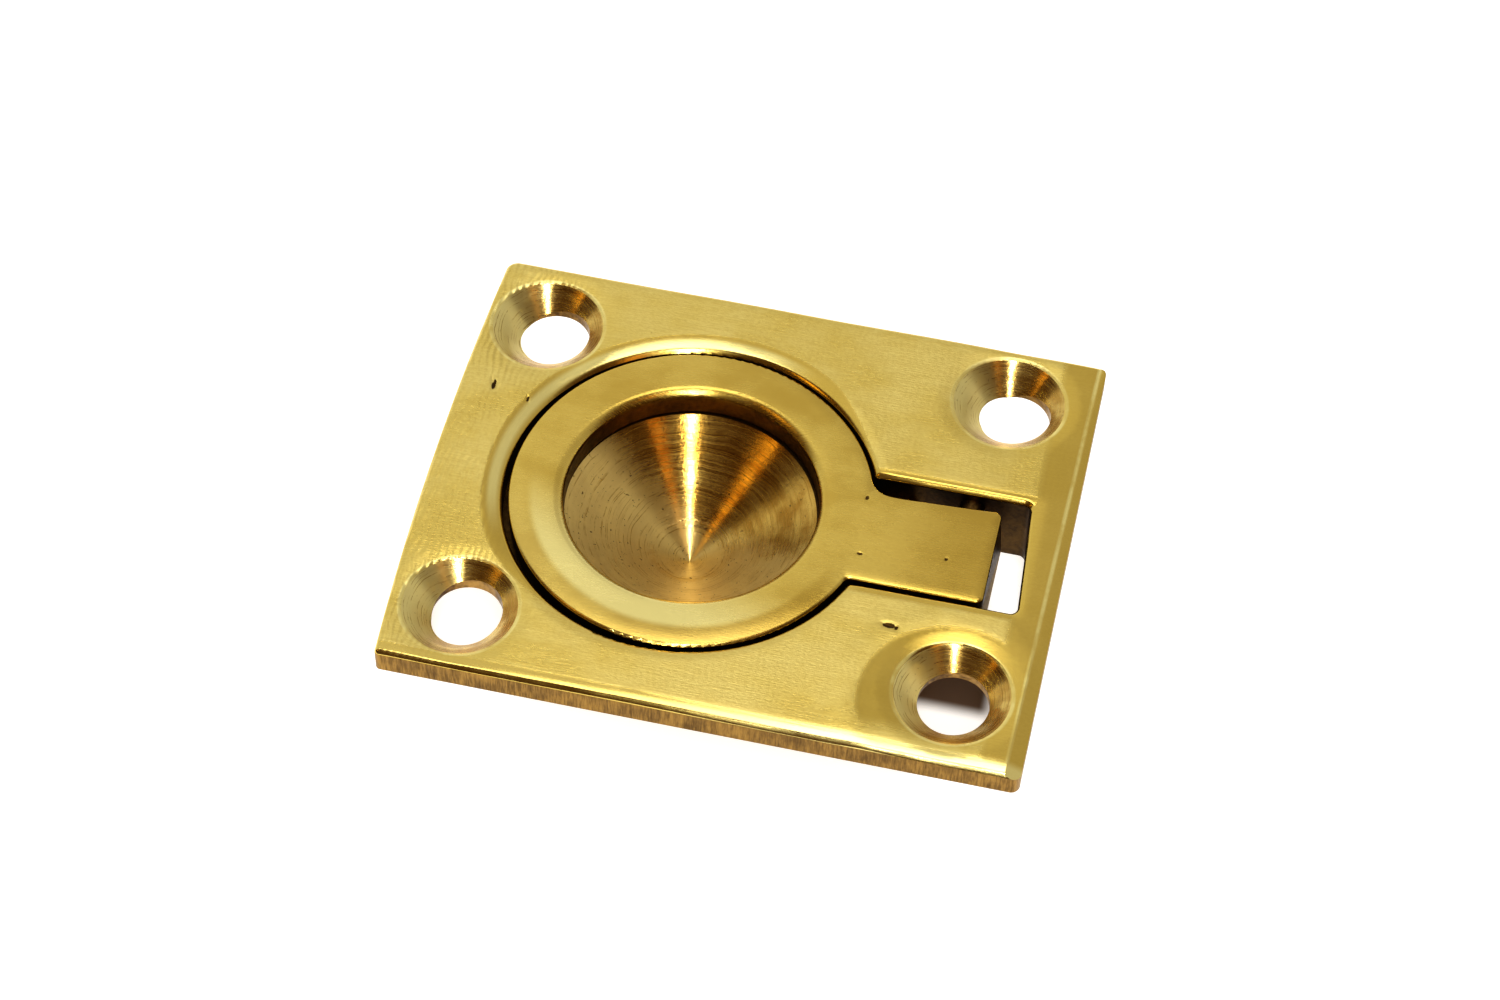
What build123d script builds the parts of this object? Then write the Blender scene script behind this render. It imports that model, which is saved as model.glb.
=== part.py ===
from build123d import *
import os
from math import sqrt

# Flush ring pull: a small cast and polished brass plate that is let into a door, hatch or drawer
# front. A ring lies flush in a round recess, over a turned finger cup, and hinges up on a pin
# that is hidden in a lug behind the plate.
# Frame: the origin is the middle of the four screw holes on the plate's back face. +X runs along
# the plate towards the hinge, +Y across it, and +Z out of the polished face. Millimetres.

# Backplate. Its edges were ground by hand, and the end away from the hinge is bowed.
PLATE_LENGTH = 50.2
PLATE_WIDTH = 40.15
PLATE_THICKNESS = 2.3
PLATE_CENTRE = (0.05, -0.3)
PLATE_END_BOW = 0.7
PLATE_CORNER_RADII = {"bowed_back": 1.0, "bowed_front": 0.4, "hinge_back": 0.5, "hinge_front": 0.7}
BOWED_END_ROUND = 0.4
HINGE_END_BEVEL = {"back": (0.55, 0.45), "front": (1.25, 0.75)}   # (width, depth) at each corner

# Screw holes for 4 mm countersunk wood screws. The countersinks were cut by eye, so each one is
# a little off its hole. The offsets go with the signs of the hole's x and y.
SCREW_SPACING_X = 37.8
SCREW_SPACING_Y = 28.0
SCREW_SKEW = 0.4
SCREW_HOLE_RADIUS = 2.75
COUNTERSINK_RADIUS = 4.55
COUNTERSINK_OFFSETS = {(-1, 1): (-0.6, -0.1), (-1, -1): (-0.4, -0.5),
                       (1, 1): (-0.7, 0.3), (1, -1): (-0.15, -0.15)}
COUNTERSINK_RIM_ROUND = 0.35

# Round recess for the ring, and the turned cone of the finger cup below it
RECESS_CENTRE = (-4.5, -0.45)
RECESS_RADIUS = 14.65
RECESS_DEPTH = 2.45
RECESS_RIM_ROUND = 0.45
CONE_RIM_RADIUS = 9.95
CONE_DEPTH = 6.45
CONE_HOLLOW = 0.3     # how far the cone's side is hollowed below a straight one, at half height
CONE_STEPS = 3        # straight stretches that stand for the hollow side
CUP_WALL = 1.75
CUP_STRAIGHT = 2.3
CUP_FLOOR = 1.3
CUP_FOOT_RADIUS = 9.0
CAST_EDGE_ROUND = 0.8

# Slot for the ring's shank, with the lug around it behind the plate
SLOT_BACK = 4.8
SLOT_FRONT = -5.7
SLOT_END_BACK = 21.6
SLOT_END_FRONT = 22.3
SLOT_CORNER_ROUND = 0.6
WINDOW_START = 12.45
NECK_CORNER_ROUND = 0.3
LUG_WALL = 2.1
LUG_START = 9.0
LUG_END = 24.0
LUG_DEPTH = 4.7
LUG_CORNER_ROUND = 1.2

# Hinge pin, pressed from behind into an open seat in each cheek of the lug
PIVOT_X = 17.0
PIVOT_Z = 0.3
PIN_DIAMETER = 2.0
PIN_END_CHAMFER = 0.15
PIN_CLEARANCE = 0.06

# Ring with its shank and the knuckle on the pin
RING_CENTRE = (-4.4, -0.3)
RING_OUTLINE_CENTRE = (-4.4, -0.42)
RING_OUTER_RADIUS = 14.25
RING_EYE_RADIUS = 10.0
RING_THICKNESS = 2.3
RING_EYE_ROUND = 0.8
RING_RIM_ROUND = 0.25
RING_UNDER_ROUND = 0.5
SHANK_END = 19.55
SHANK_FRONT = -5.4
SHANK_BACK_AT_END = 3.55
SHANK_BACK_AT_WAIST = 3.05
SHANK_WAIST_X = 11.75
SHANK_END_CORNER = 0.6
SHANK_NECK_FILLET = 2.0
SHANK_HEEL_FILLET = 0.6
KNUCKLE_START = 13.45
KNUCKLE_HEEL_START = 15.15
KNUCKLE_HEEL_END = 19.85
KNUCKLE_BOTTOM = -3.4
KNUCKLE_FRONT = -5.3
KNUCKLE_BACK = 3.15
KNUCKLE_ROUND = 1.1

TOP = PLATE_THICKNESS
EPS = 0.01        # overlap of cuts that meet, and the slack when an edge is looked up
OVERCUT = 1.0     # how far a cut runs on past the metal
LOOKUP = 0.6      # how far from its nominal place a corner may stand
plate_low = (PLATE_CENTRE[0] - PLATE_LENGTH / 2, PLATE_CENTRE[1] - PLATE_WIDTH / 2)
plate_high = (PLATE_CENTRE[0] + PLATE_LENGTH / 2, PLATE_CENTRE[1] + PLATE_WIDTH / 2)
bowed_corner_x = plate_low[0] + PLATE_END_BOW
recess_floor = TOP - RECESS_DEPTH
cone_tip = recess_floor - CONE_DEPTH
cone_shares = [1 - step / CONE_STEPS for step in range(CONE_STEPS + 1)]
cone_side = [(CONE_RIM_RADIUS * share,
              cone_tip + CONE_DEPTH * share - 4 * CONE_HOLLOW * share * (1 - share))
             for share in cone_shares]
cup_bottom = cone_tip - CUP_FLOOR
cup_radius = RECESS_RADIUS + CUP_WALL
pin_back = SLOT_BACK + LUG_WALL
pin_length = SLOT_BACK - SLOT_FRONT + 2 * LUG_WALL
pivot_plane = Plane(origin=(PIVOT_X, 0, PIVOT_Z), x_dir=(1, 0, 0), z_dir=(0, -1, 0))
recess_axis = Axis((*RECESS_CENTRE, 0), (0, 0, 1))
recess_section = Plane(origin=(*RECESS_CENTRE, 0), x_dir=(1, 0, 0), z_dir=(0, -1, 0))

os.makedirs("parts", exist_ok=True)


def near(shapes, x, y):
    """The vertices, or the vertical edges by their middles, that stand at this place in plan."""
    middles = [(shape, shape.center()) for shape in shapes]
    return [shape for shape, c in middles if abs(c.X - x) < LOOKUP and abs(c.Y - y) < LOOKUP]


def neck(centre, radius, y):
    """Where a straight side at this y meets a round outline, on the hinge's side of it."""
    return centre[0] + sqrt(radius ** 2 - (y - centre[1]) ** 2), y


def slot_outline(start_x):
    """The slot's outline in plan from start_x to its slanted end."""
    return [(start_x, SLOT_BACK), (SLOT_END_BACK, SLOT_BACK),
            (SLOT_END_FRONT, SLOT_FRONT), (start_x, SLOT_FRONT)]


# ---------------------------------------------------------------- backplate
with BuildPart() as backplate:
    # Flat plate with one bowed end
    with BuildSketch(Plane.XY):
        with BuildLine():
            ThreePointArc((bowed_corner_x, plate_high[1]), (plate_low[0], PLATE_CENTRE[1]),
                          (bowed_corner_x, plate_low[1]))
            Polyline((bowed_corner_x, plate_low[1]), (plate_high[0], plate_low[1]),
                     plate_high, (bowed_corner_x, plate_high[1]))
        make_face()
    extrude(amount=PLATE_THICKNESS)
    corner_places = {"bowed_back": (bowed_corner_x, plate_high[1]),
                     "bowed_front": (bowed_corner_x, plate_low[1]),
                     "hinge_back": plate_high,
                     "hinge_front": (plate_high[0], plate_low[1])}
    for corner, place in corner_places.items():
        upright = near(backplate.edges().filter_by(Axis.Z), *place)
        fillet(upright, radius=PLATE_CORNER_RADII[corner])

    # Rounded top edge of the bowed end
    bowed_edge = backplate.edges().group_by(Axis.Z)[-1].sort_by(Axis.X)[0]
    fillet(bowed_edge, radius=BOWED_END_ROUND)

    # Hand-filed bevel along the hinge end, wider towards the front
    bevel_ends = {"back": plate_high[1] + OVERCUT, "front": plate_low[1] - OVERCUT}
    for side, y in bevel_ends.items():
        width, depth = HINGE_END_BEVEL[side]
        with BuildSketch(Plane(origin=(0, y, 0), x_dir=(1, 0, 0), z_dir=(0, -1, 0))):
            with BuildLine():
                Polyline((plate_high[0] - width, TOP), (plate_high[0], TOP - depth),
                         (plate_high[0] + OVERCUT, TOP - depth),
                         (plate_high[0] + OVERCUT, TOP + OVERCUT),
                         (plate_high[0] - width, TOP + OVERCUT), close=True)
            make_face()
    loft(mode=Mode.SUBTRACT)

    # Cup behind the plate: a straight collar, then a taper to a flat foot
    with BuildSketch(recess_section):
        with BuildLine():
            Polyline((0, TOP / 2), (cup_radius, TOP / 2), (cup_radius, -CUP_STRAIGHT),
                     (CUP_FOOT_RADIUS, cup_bottom), (0, cup_bottom), close=True)
        make_face()
    revolve(axis=recess_axis)

    # Lug behind the slot
    with BuildSketch(Plane.XY.offset(TOP / 2)):
        with BuildLine():
            Polyline((LUG_START, SLOT_BACK + LUG_WALL), (LUG_END, SLOT_BACK + LUG_WALL),
                     (LUG_END, SLOT_FRONT - LUG_WALL), (LUG_START, SLOT_FRONT - LUG_WALL),
                     close=True)
        make_face()
    extrude(amount=-(TOP / 2 + LUG_DEPTH))
    lug_corners = backplate.edges().filter_by(Axis.Z).filter_by_position(
        Axis.X, LUG_END - EPS, LUG_END + EPS)
    fillet(lug_corners, radius=LUG_CORNER_ROUND)
    lug_bottom = backplate.faces().filter_by(Axis.Z).filter_by_position(
        Axis.Z, -LUG_DEPTH - EPS, -LUG_DEPTH + EPS)
    lug_rim = lug_bottom.edges().filter_by_position(Axis.X, WINDOW_START, LUG_END + EPS)
    fillet(lug_rim, radius=CAST_EDGE_ROUND / 2)
    cup_foot_rim = backplate.edges().group_by(Axis.Z)[0]
    fillet(cup_foot_rim, radius=CAST_EDGE_ROUND)

    # Recess for the ring, and the channel from it for the shank
    with BuildSketch(Plane.XY.offset(TOP)):
        with Locations(RECESS_CENTRE):
            Circle(RECESS_RADIUS)
        with BuildLine():
            Polyline(*slot_outline(RECESS_CENTRE[0]), close=True)
        make_face()
        fillet(near(vertices(), SLOT_END_BACK, SLOT_BACK)
               + near(vertices(), SLOT_END_FRONT, SLOT_FRONT), radius=SLOT_CORNER_ROUND)
        fillet(near(vertices(), *neck(RECESS_CENTRE, RECESS_RADIUS, SLOT_BACK))
               + near(vertices(), *neck(RECESS_CENTRE, RECESS_RADIUS, SLOT_FRONT)),
               radius=NECK_CORNER_ROUND)
    extrude(amount=-RECESS_DEPTH, mode=Mode.SUBTRACT)
    recess_rim = backplate.edges().filter_by_position(
        Axis.Z, TOP - EPS, TOP + EPS).filter_by_position(
        Axis.X, RECESS_CENTRE[0] - RECESS_RADIUS, SLOT_END_FRONT + EPS).filter_by_position(
        Axis.Y, RECESS_CENTRE[1] - RECESS_RADIUS, RECESS_CENTRE[1] + RECESS_RADIUS)
    fillet(recess_rim, radius=RECESS_RIM_ROUND)

    # Window right through the plate and the lug, where the knuckle turns
    with BuildSketch(Plane.XY.offset(recess_floor + EPS)):
        with BuildLine():
            Polyline(*slot_outline(WINDOW_START), close=True)
        make_face()
        fillet(vertices(), radius=SLOT_CORNER_ROUND)
    extrude(amount=-(recess_floor + LUG_DEPTH + OVERCUT), mode=Mode.SUBTRACT)

    # Turned cone of the finger cup
    with BuildSketch(recess_section):
        with BuildLine():
            Polyline((0, recess_floor + EPS), (CONE_RIM_RADIUS, recess_floor + EPS),
                     *cone_side, close=True)
        make_face()
    revolve(axis=recess_axis, mode=Mode.SUBTRACT)

    # Pin seats: round-ended notches through both cheeks, open to the back of the lug
    with BuildSketch(pivot_plane.offset(-pin_back)):
        Circle(PIN_DIAMETER / 2)
        with Locations((0, -LUG_DEPTH)):
            Rectangle(PIN_DIAMETER, 2 * LUG_DEPTH)
    extrude(amount=pin_length, mode=Mode.SUBTRACT)

    # Countersunk screw holes
    with Locations(Location((0, 0, TOP), (0, 0, SCREW_SKEW))):
        with GridLocations(SCREW_SPACING_X, SCREW_SPACING_Y, 2, 2) as screw_grid:
            Hole(SCREW_HOLE_RADIUS)
            screw_places = [place.position for place in screw_grid.locations]
    for place in screw_places:
        signs = (1 if place.X > 0 else -1, 1 if place.Y > 0 else -1)
        offset_x, offset_y = COUNTERSINK_OFFSETS[signs]
        with Locations((place.X + offset_x, place.Y + offset_y, TOP)):
            Cone(EPS, COUNTERSINK_RADIUS, COUNTERSINK_RADIUS,
                 align=(Align.CENTER, Align.CENTER, Align.MAX), mode=Mode.SUBTRACT)
    countersink_rims = [edge for edge in backplate.edges().filter_by(GeomType.CIRCLE)
                        if abs(edge.radius - COUNTERSINK_RADIUS) < EPS]
    fillet(countersink_rims, radius=COUNTERSINK_RIM_ROUND)

# ---------------------------------------------------------------- ring pull
with BuildPart() as ring_pull:
    # Flat ring and shank
    with BuildSketch(Plane.XY.offset(TOP - RING_THICKNESS)):
        with Locations(RING_OUTLINE_CENTRE):
            Circle(RING_OUTER_RADIUS)
        with BuildLine():
            Polyline((0, SHANK_BACK_AT_WAIST), (SHANK_WAIST_X, SHANK_BACK_AT_WAIST),
                     (SHANK_END, SHANK_BACK_AT_END), (SHANK_END, SHANK_FRONT),
                     (0, SHANK_FRONT), close=True)
        make_face()
        neck_back = neck(RING_OUTLINE_CENTRE, RING_OUTER_RADIUS, SHANK_BACK_AT_WAIST)
        neck_front = neck(RING_OUTLINE_CENTRE, RING_OUTER_RADIUS, SHANK_FRONT)
        fillet(near(vertices(), *neck_back), radius=SHANK_NECK_FILLET)
        fillet(near(vertices(), *neck_front), radius=SHANK_HEEL_FILLET)
        fillet(near(vertices(), SHANK_END, SHANK_BACK_AT_END)
               + near(vertices(), SHANK_END, SHANK_FRONT), radius=SHANK_END_CORNER)
        with Locations(RING_CENTRE):
            Circle(RING_EYE_RADIUS, mode=Mode.SUBTRACT)
    extrude(amount=RING_THICKNESS)
    under_edges = ring_pull.edges().group_by(Axis.Z)[0]
    under_eye = [edge for edge in under_edges.filter_by(GeomType.CIRCLE)
                 if abs(edge.radius - RING_EYE_RADIUS) < EPS]
    under_outline = [edge for edge in under_edges if edge not in under_eye]
    fillet(under_outline, radius=RING_UNDER_ROUND)

    # Knuckle below the shank's end
    with BuildSketch(Plane.XZ.offset(-KNUCKLE_BACK)):
        with BuildLine():
            Polyline((KNUCKLE_START, TOP - RING_THICKNESS), (KNUCKLE_HEEL_START, KNUCKLE_BOTTOM),
                     (KNUCKLE_HEEL_END, KNUCKLE_BOTTOM), (SHANK_END, TOP / 2),
                     (KNUCKLE_START, TOP / 2), close=True)
        make_face()
        fillet(near(vertices(), KNUCKLE_HEEL_START, KNUCKLE_BOTTOM)
               + near(vertices(), KNUCKLE_HEEL_END, KNUCKLE_BOTTOM), radius=KNUCKLE_ROUND)
    extrude(amount=KNUCKLE_BACK - KNUCKLE_FRONT)

    # Bore for the pin
    with BuildSketch(pivot_plane):
        Circle(PIN_DIAMETER / 2 + PIN_CLEARANCE)
    extrude(amount=pin_length, both=True, mode=Mode.SUBTRACT)

    # Rounded edges of the face: the outline and the eye
    face_edges = ring_pull.edges().group_by(Axis.Z)[-1]
    eye_edge = [edge for edge in face_edges.filter_by(GeomType.CIRCLE)
                if abs(edge.radius - RING_EYE_RADIUS) < EPS]
    outline = [edge for edge in face_edges if edge not in eye_edge]
    fillet(outline, radius=RING_RIM_ROUND)
    fillet(eye_edge, radius=RING_EYE_ROUND)

# ---------------------------------------------------------------- hinge pin
with BuildPart() as hinge_pin:
    with BuildSketch(pivot_plane.offset(-pin_back)):
        Circle(PIN_DIAMETER / 2)
    extrude(amount=pin_length)
    chamfer(hinge_pin.edges().filter_by(GeomType.CIRCLE), length=PIN_END_CHAMFER)

backplate.part.label = "backplate"
ring_pull.part.label = "ring_pull"
hinge_pin.part.label = "hinge_pin"
for piece in (backplate.part, ring_pull.part, hinge_pin.part):
    export_step(piece, f"parts/{piece.label}.step")
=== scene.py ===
import bmesh
import bpy
import numpy as np
from math import cos, floor, pi, radians, sin
from mathutils import Matrix, Vector
from mathutils.bvhtree import BVHTree
from mathutils.geometry import delaunay_2d_cdt
from mathutils.kdtree import KDTree


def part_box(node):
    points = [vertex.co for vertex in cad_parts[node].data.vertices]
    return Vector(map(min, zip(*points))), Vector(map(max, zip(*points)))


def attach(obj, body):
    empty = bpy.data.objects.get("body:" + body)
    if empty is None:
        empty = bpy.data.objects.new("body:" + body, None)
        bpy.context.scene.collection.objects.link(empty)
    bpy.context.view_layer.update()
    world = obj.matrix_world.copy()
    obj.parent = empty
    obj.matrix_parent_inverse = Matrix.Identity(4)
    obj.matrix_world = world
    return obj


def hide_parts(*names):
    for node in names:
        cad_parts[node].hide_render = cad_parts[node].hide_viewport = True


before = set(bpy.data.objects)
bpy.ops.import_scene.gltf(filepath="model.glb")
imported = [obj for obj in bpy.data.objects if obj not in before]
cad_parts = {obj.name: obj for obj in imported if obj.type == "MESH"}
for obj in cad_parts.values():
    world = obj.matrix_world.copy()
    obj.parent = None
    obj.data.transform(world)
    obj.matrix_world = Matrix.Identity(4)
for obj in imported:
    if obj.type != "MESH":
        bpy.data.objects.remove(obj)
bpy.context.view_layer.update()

# The looks of a flush ring pull: a cast brass plate and ring, polished on the face only. The
# plate and the ring are shown as finer copies of their CAD solids, worn down a little where a
# polishing wheel has dubbed the edges over, with a finish for each kind of surface.
# Lengths below are in millimetres in the row frame, unless a name says otherwise.
MM = 0.001
plate_low, plate_high = (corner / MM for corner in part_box("backplate"))
TOP = plate_high.z

# Plan of the plate and the ring after the CAD model, with a slanted edge at its middle
RECESS_CENTRE = (-4.5, -0.45)
RECESS_RADIUS = 14.65
RECESS_FLOOR = TOP - 2.45
CONE_RIM_RADIUS = 9.95
CONE_DEPTH = 6.45
CONE_HOLLOW = 0.3      # how far the cone's side lies below a straight one, at half height
SLOT_FRONT, SLOT_BACK = -5.7, 4.8
SLOT_END = 21.9
WINDOW_START = 12.4    # where the opening through the recess's floor begins, under the shank
SCREW_PITCH = (37.8, 28.0)
SCREW_SKEW = radians(0.4)
SCREW_HOLE_RADIUS = 2.75
COUNTERSINK_RADIUS = 4.55
COUNTERSINK_SHIFTS = {(-1, 1): (-0.6, -0.1), (-1, -1): (-0.4, -0.5),
                      (1, 1): (-0.7, 0.3), (1, -1): (-0.15, -0.15)}
EYE_CENTRE = (-4.4, -0.3)
EYE_RADIUS = 10.0
RING_CENTRE = (-4.4, -0.42)
RING_RADIUS = 14.25
SHANK_FRONT, SHANK_BACK = -5.4, 3.3
SHANK_END = 19.55
SHANK_START = 8.0
SHANK_NECK = 3.0       # length over which the ring passes into the shank
BEVEL_WIDTHS = (1.25, 0.55)   # the hinge end's bevel at the front and at the back

# Traces of the hand polishing. A dub is a rounded-over edge, as its width and its depth at the
# edge, and a pair of widths or depths goes from the lightly worn side to the most worn one.
HINGE_FACET = 21.6     # where the face begins to fall away to the hinge end
FACET_REACH = 4.0
FACET_FALL = 0.035     # how steeply it falls
DISH_CENTRE = (18.8, -15.0)   # a dish at the front corner by the hinge
DISH_RADIUS = 7.0
DISH_DEPTH = 0.34
DISH_POWER = 1.25
DISH_FLATTENING = 1.2
CREST_HEIGHT = 0.05    # the low crest round the dish
CREST_OFFSET = 0.9
CREST_WIDTH = 1.0
CRISP = 1.3            # power of a dub that ends crisply
PLATE_SWELLS = ((0.040, 17, 4), (0.005, 5, 8))      # depth, wavelength and random seed
RING_SWELLS = ((0.030, 14, 21), (0.004, 5, 23))
RECESS_DUB_WIDTHS, RECESS_DUB_DEPTHS = (0.9, 1.7), (0.10, 0.34)
RECESS_WORN_BEARING = radians(150)
SLOT_DUB = (1.2, 0.12)
COUNTERSINK_DUB = (1.2, 0.10)
COUNTERSINK_HOLLOW = (4.0, 0.05)
FRONT_DUB_WIDTHS, FRONT_DUB_DEPTHS = (0.8, 2.0), (0.08, 0.28)
BACK_DUB = (0.9, 0.10)
BOWED_END_DUB = (2.2, 0.10)
EYE_DUB = (1.5, 0.12)
RING_DUB_WIDTHS, RING_DUB_DEPTHS = (0.8, 2.0), (0.07, 0.20)
RING_WORN_BEARING = 0.5 - pi / 2      # between the ring's front and the hinge
WAVE_PITCH = 0.52      # spacing of the waves that a wheel left at the bowed end

SKIN = 0.75            # depth below the face at which the wear has faded out
STRIP_STEP = 1.0       # longest stretch of an edge round left in one piece
FACE_PITCH = 0.36      # mesh spacing on the polished face
PIT_PITCH = 0.09       # and round a pit
PIT_REACH = 1.05       # how far from a pit the fine mesh goes
FACE_CLEARANCE = 0.4   # least distance of a net's point from the face's rim, in pitches
PIT_CLEARANCE = 0.5
RIM_MARK_STEP = 0.1    # spacing of the marks that stand for the face's rim
WELD = 0.001           # vertices closer than this are one
SLACK = 0.01           # allowed for where a place is compared with a plane or a radius
SLOPE_STEP = 0.02      # step for measuring the slope of the wear
LEAST_SQUEEZE = 0.2    # least share of a normal's lean that the lowered skin keeps
CONE_RINGS = 84
CONE_SEED = 12
CONE_LAST_RING = 0.012     # radius of the innermost ring, as a share of the rim's
CHATTER = 0.0007       # depth of the boring tool's marks
UP = (0.0, 0.0, 1.0)


def countersink_places():
    """The middle of each countersink in plan, and the middle of its hole."""
    places = []
    for (side_x, side_y), (shift_x, shift_y) in COUNTERSINK_SHIFTS.items():
        x, y = side_x * SCREW_PITCH[0] / 2, side_y * SCREW_PITCH[1] / 2
        hole = (x * cos(SCREW_SKEW) - y * sin(SCREW_SKEW), x * sin(SCREW_SKEW) + y * cos(SCREW_SKEW))
        places.append(((hole[0] + shift_x, hole[1] + shift_y), hole))
    return places


COUNTERSINKS = countersink_places()


# ---------------------------------------------------------------- camera
LENS = 88.0
TARGET = Vector((0.16, 0.08, TOP)) * MM
DISTANCE = 285.2 * MM
AZIMUTH = radians(11.3)
ELEVATION = radians(52.77)
ROLL = radians(1.6)


def add_camera():
    """The camera at the reference view: azimuth from -Y towards +X, then a slight roll."""
    outward = Vector((sin(AZIMUTH) * cos(ELEVATION), -cos(AZIMUTH) * cos(ELEVATION), sin(ELEVATION)))
    level_right = Vector(UP).cross(outward).normalized()
    level_up = outward.cross(level_right)
    right = level_right * cos(ROLL) + level_up * sin(ROLL)
    up = outward.cross(right)
    data = bpy.data.cameras.new("camera")
    data.lens = LENS
    data.sensor_width = 36.0
    data.clip_start = 0.01
    camera = bpy.data.objects.new("camera", data)
    bpy.context.scene.collection.objects.link(camera)
    place = Matrix((right, up, outward)).transposed().to_4x4()
    place.translation = TARGET + outward * DISTANCE
    camera.matrix_world = place
    bpy.context.scene.camera = camera


# ---------------------------------------------------------------- worn shape of the faces
# Casting pits in the faces: middle, half widths, turn in degrees and depth
PITS = {"backplate": [((-22.2, 6.7), (0.18, 0.55), 20, 0.16), ((-19.2, 5.9), (0.12, 0.3), 20, 0.06),
                      ((13.0, -9.1), (0.55, 0.26), -10, 0.14), ((13.6, -9.2), (0.16, 0.2), 0, 0.12)],
        "ring_pull": [((9.0, 2.4), (0.16, 0.24), 0, 0.04), ((9.5, -3.0), (0.24, 0.16), 0, 0.04),
                      ((16.1, -2.0), (0.14, 0.18), 0, 0.04)]}


def swell(x, y, wavelength, seed):
    """A smooth random swell of about -1 to 1, the same on every run."""
    random = np.random.default_rng(seed)
    total = np.zeros_like(x)
    count = 14
    for _ in range(count):
        heading, phase = random.uniform(0, 2 * pi, 2)
        pitch = wavelength * random.uniform(0.75, 1.4)
        total += np.sin(2 * pi / pitch * (x * cos(heading) + y * sin(heading)) + phase)
    return total / np.sqrt(2 * count)


def dub(distance, width, depth, power=2.0):
    """How far a polished-over edge has fallen away, at a distance in from the edge."""
    return depth * np.clip(1 - distance / width, 0, 1) ** power


def between(pair, share):
    """A value on the way from the first of a pair to the second."""
    return pair[0] + (pair[1] - pair[0]) * share


def toward(bearing, worn_bearing):
    """A share that is 1 at the most worn bearing and 0 opposite it."""
    return 0.5 + 0.5 * np.cos(bearing - worn_bearing)


def polar(x, y, centre):
    """The distance from a centre in plan, and the bearing."""
    dx, dy = x - centre[0], y - centre[1]
    return np.hypot(dx, dy), np.arctan2(dy, dx)


def pit_depth(x, y, node):
    """How deep the casting pits of this node go below its worn face."""
    total = np.zeros_like(x)
    for (px, py), (long, wide), turn, depth in PITS[node]:
        c, s = cos(radians(turn)), sin(radians(turn))
        u = (x - px) * c + (y - py) * s
        v = (y - py) * c - (x - px) * s
        total += depth * np.exp(-(u / long) ** 2 - (v / wide) ** 2)
    return total


def plate_wear(x, y):
    """How far the plate's face is worn below the flat, in plan."""
    worn = sum(depth * (1 + swell(x, y, wavelength, seed)) for depth, wavelength, seed in PLATE_SWELLS)
    radius, bearing = polar(x, y, RECESS_CENTRE)
    share = toward(bearing, RECESS_WORN_BEARING)
    worn += dub(radius - RECESS_RADIUS, between(RECESS_DUB_WIDTHS, share),
                between(RECESS_DUB_DEPTHS, share), CRISP)
    past_end = np.maximum(x - SLOT_END, 0) + np.maximum(SHANK_START - x, 0)
    past_side = np.maximum(np.maximum(SLOT_FRONT - y, y - SLOT_BACK), 0)
    worn += dub(np.hypot(past_end, past_side), *SLOT_DUB)
    for middle, _ in COUNTERSINKS:
        radius, _ = polar(x, y, middle)
        worn += dub(radius - COUNTERSINK_RADIUS, *COUNTERSINK_DUB, CRISP)
        worn += dub(radius - COUNTERSINK_RADIUS, *COUNTERSINK_HOLLOW)
    radius, _ = polar(x, y, DISH_CENTRE)
    inwards = np.clip((DISH_RADIUS - radius) / DISH_RADIUS, 0, 1)
    worn += DISH_DEPTH * inwards ** DISH_POWER / (1 + DISH_FLATTENING * inwards)
    worn -= CREST_HEIGHT * np.exp(-((radius - DISH_RADIUS - CREST_OFFSET) / CREST_WIDTH) ** 2)
    hinge_side = np.clip((x - plate_low.x) / (plate_high.x - plate_low.x), 0, 1)
    worn += dub(y - plate_low.y, between(FRONT_DUB_WIDTHS, hinge_side),
                between(FRONT_DUB_DEPTHS, hinge_side))
    worn += dub(plate_high.y - y, *BACK_DUB)
    worn += dub(x - plate_low.x, *BOWED_END_DUB)
    past_facet = np.clip(x - HINGE_FACET, 0, FACET_REACH)
    worn += FACET_FALL * past_facet ** 2 / (1 + past_facet)
    return np.maximum(worn, 0) + pit_depth(x, y, "backplate")


def ring_wear(x, y):
    """How far the ring's face is worn below the flat, in plan."""
    worn = sum(depth * (1 + swell(x, y, wavelength, seed)) for depth, wavelength, seed in RING_SWELLS)
    from_eye, _ = polar(x, y, EYE_CENTRE)
    worn += dub(from_eye - EYE_RADIUS, *EYE_DUB)
    radius, bearing = polar(x, y, RING_CENTRE)
    in_ring = RING_RADIUS - radius
    in_shank = np.minimum(np.minimum(y - SHANK_FRONT, SHANK_BACK - y), SHANK_END - x)
    in_shank = np.where(x > SHANK_START - SHANK_NECK, in_shank, -1)
    edge = np.maximum(np.maximum(in_ring, in_shank), 0)
    share = toward(bearing, RING_WORN_BEARING) * np.clip((SHANK_START - x) / SHANK_NECK, 0, 1)
    worn += dub(edge, between(RING_DUB_WIDTHS, share), between(RING_DUB_DEPTHS, share))
    return np.maximum(worn, 0) + pit_depth(x, y, "ring_pull")


# ---------------------------------------------------------------- finer copies of the CAD solids
def on_face(f):
    """Whether a mesh face is part of the flat polished face."""
    return f.normal.z > 0.99999 and abs(f.calc_center_median().z / MM - TOP) < SLACK


def start_copy(source):
    """The CAD node's mesh as one closed skin, with its normals kept in the corner layer."""
    bm = bmesh.new()
    bm.from_mesh(source.data)
    layer = bm.loops.layers.float_vector.new("cad_normal")
    normals = [Vector(n.vector) for n in source.data.corner_normals]
    for f in bm.faces:
        for corner in f.loops:
            corner[layer] = normals[corner.index]
    bmesh.ops.remove_doubles(bm, verts=bm.verts, dist=WELD * MM)
    return bm, layer


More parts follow.
